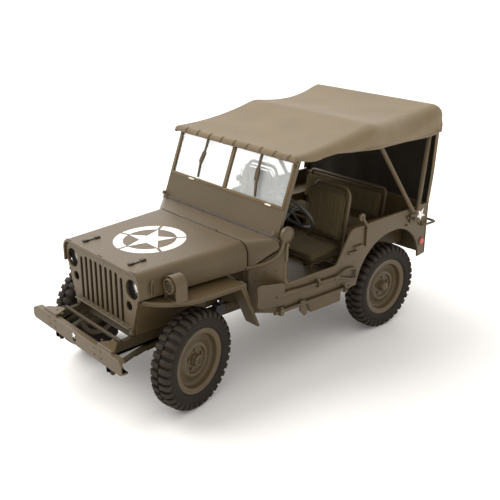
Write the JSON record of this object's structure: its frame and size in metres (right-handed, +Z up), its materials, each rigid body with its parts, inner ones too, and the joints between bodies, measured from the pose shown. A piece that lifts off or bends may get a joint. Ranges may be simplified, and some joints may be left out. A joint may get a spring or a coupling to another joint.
{
  "type": "army 4x4 car",
  "caption": "Scale model of an unarmed open-sided military 4x4 car with its soft top up, that rolls and steers and whose bonnet opens.",
  "frame": {"origin": "on the ground under the middle of the bounding box", "axes": "+X forward, +Y to the car's left, +Z up"},
  "size_m": [0.186, 0.0884, 0.1035],
  "materials": {
    "olive_paint": "satin",
    "chassis_paint": "satin",
    "canvas": "matte",
    "seat_fabric": "matte",
    "tyre": "matte",
    "clear": "clear",
    "engine_metal": "matte",
    "black_plastic": "matte",
    "lamp_chrome": "polished",
    "red_plastic": "gloss",
    "tool_steel": "satin"
  },
  "bodies": {
    "chassis": {"axe": "tool_steel", "battery": "black_plastic", "blackout_lamp": "olive_paint", "bow_brackets": "olive_paint", "canopy": "canvas", "canopy_bows": "olive_paint", "cowl": "olive_paint", "engine": "engine_metal", "exhaust": "chassis_paint", "frame": "chassis_paint", "front_axle": "chassis_paint", "front_bumper": "olive_paint", "front_lamps": "lamp_chrome", "front_seat_frames": "olive_paint", "front_seat_pads": "seat_fabric", "fuel_tank": "olive_paint", "gear_levers": "black_plastic", "gearbox": "engine_metal", "grab_handles": "olive_paint", "grille": "olive_paint", "jerry_can": "olive_paint", "jerry_can_rack": "olive_paint", "leaf_springs": "chassis_paint", "left_fender": "olive_paint", "left_side_panel": "olive_paint", "mirror": "olive_paint", "pintle_hook": "olive_paint", "propshafts": "chassis_paint", "radiator": "engine_metal", "rear_axle": "chassis_paint", "rear_panel": "olive_paint", "rear_seat_frame": "olive_paint", "rear_seat_pads": "seat_fabric", "right_fender": "olive_paint", "right_side_panel": "olive_paint", "shovel": "tool_steel", "spare_carrier": "olive_paint", "spare_rim": "olive_paint", "spare_tyre": "tyre", "steering_column": "black_plastic", "tail_lamps": "red_plastic", "tool_clamps": "olive_paint", "tub_floor": "olive_paint", "windscreen_frame": "olive_paint", "windscreen_glass": "clear", "wipers": "black_plastic"},
    "left_knuckle": {"left_knuckle": "chassis_paint"},
    "right_knuckle": {"right_knuckle": "chassis_paint"},
    "tie_rod": {"tie_rod": "chassis_paint"},
    "steering_wheel": {"steering_wheel": "black_plastic"},
    "bonnet": {"bonnet": "olive_paint"},
    "front_left_wheel": {"front_left_tyre": "tyre", "front_left_rim": "olive_paint"},
    "front_right_wheel": {"front_right_tyre": "tyre", "front_right_rim": "olive_paint"},
    "rear_left_wheel": {"rear_left_tyre": "tyre", "rear_left_rim": "olive_paint"},
    "rear_right_wheel": {"rear_right_tyre": "tyre", "rear_right_rim": "olive_paint"}
  },
  "joints": [
    {"name": "left_steer", "type": "hinge", "parent": "chassis", "child": "left_knuckle", "pos_m": [0.0621, 0.0303, 0.0203], "axis": [0, 0, 1], "range_deg": [-37, 11]},
    {"name": "right_steer", "type": "hinge", "parent": "chassis", "child": "right_knuckle", "pos_m": [0.0621, -0.0303, 0.0203], "axis": [0, 0, 1], "range_deg": [-37.5, 11.5]},
    {"name": "tie_rod_pivot", "type": "hinge", "parent": "left_knuckle", "child": "tie_rod", "pos_m": [0.05528, 0.02873, 0.0148], "axis": [0, 0, 1], "range_deg": [-11.5, 37.5]},
    {"name": "steering_wheel_turn", "type": "hinge", "parent": "chassis", "child": "steering_wheel", "pos_m": [-0.003, 0.022, 0.0643], "axis": [-0.7818, 0, 0.6235], "range_deg": [-112, 34]},
    {"name": "front_left_roll", "type": "hinge", "parent": "left_knuckle", "child": "front_left_wheel", "pos_m": [0.06113, 0.03449, 0.0203], "axis": [-0.225, 0.9744, 0], "continuous": true},
    {"name": "front_right_roll", "type": "hinge", "parent": "right_knuckle", "child": "front_right_wheel", "pos_m": [0.06307, -0.03449, 0.0203], "axis": [-0.225, 0.9744, 0], "continuous": true},
    {"name": "rear_left_roll", "type": "hinge", "parent": "chassis", "child": "rear_left_wheel", "pos_m": [-0.0508, 0.0346, 0.0203], "axis": [0, 1, 0], "continuous": true},
    {"name": "rear_right_roll", "type": "hinge", "parent": "chassis", "child": "rear_right_wheel", "pos_m": [-0.0508, -0.0346, 0.0203], "axis": [0, 1, 0], "continuous": true},
    {"name": "bonnet_hinge", "type": "hinge", "parent": "chassis", "child": "bonnet", "pos_m": [0.0302, 0, 0.0598], "axis": [0, -1, 0], "range_deg": [0, 50]}
  ],
  "couplings": [
    {"joint": "right_steer", "follows": "left_steer", "ratio": 1},
    {"joint": "tie_rod_pivot", "follows": "left_steer", "ratio": -1},
    {"joint": "steering_wheel_turn", "follows": "left_steer", "ratio": 3}
  ]
}
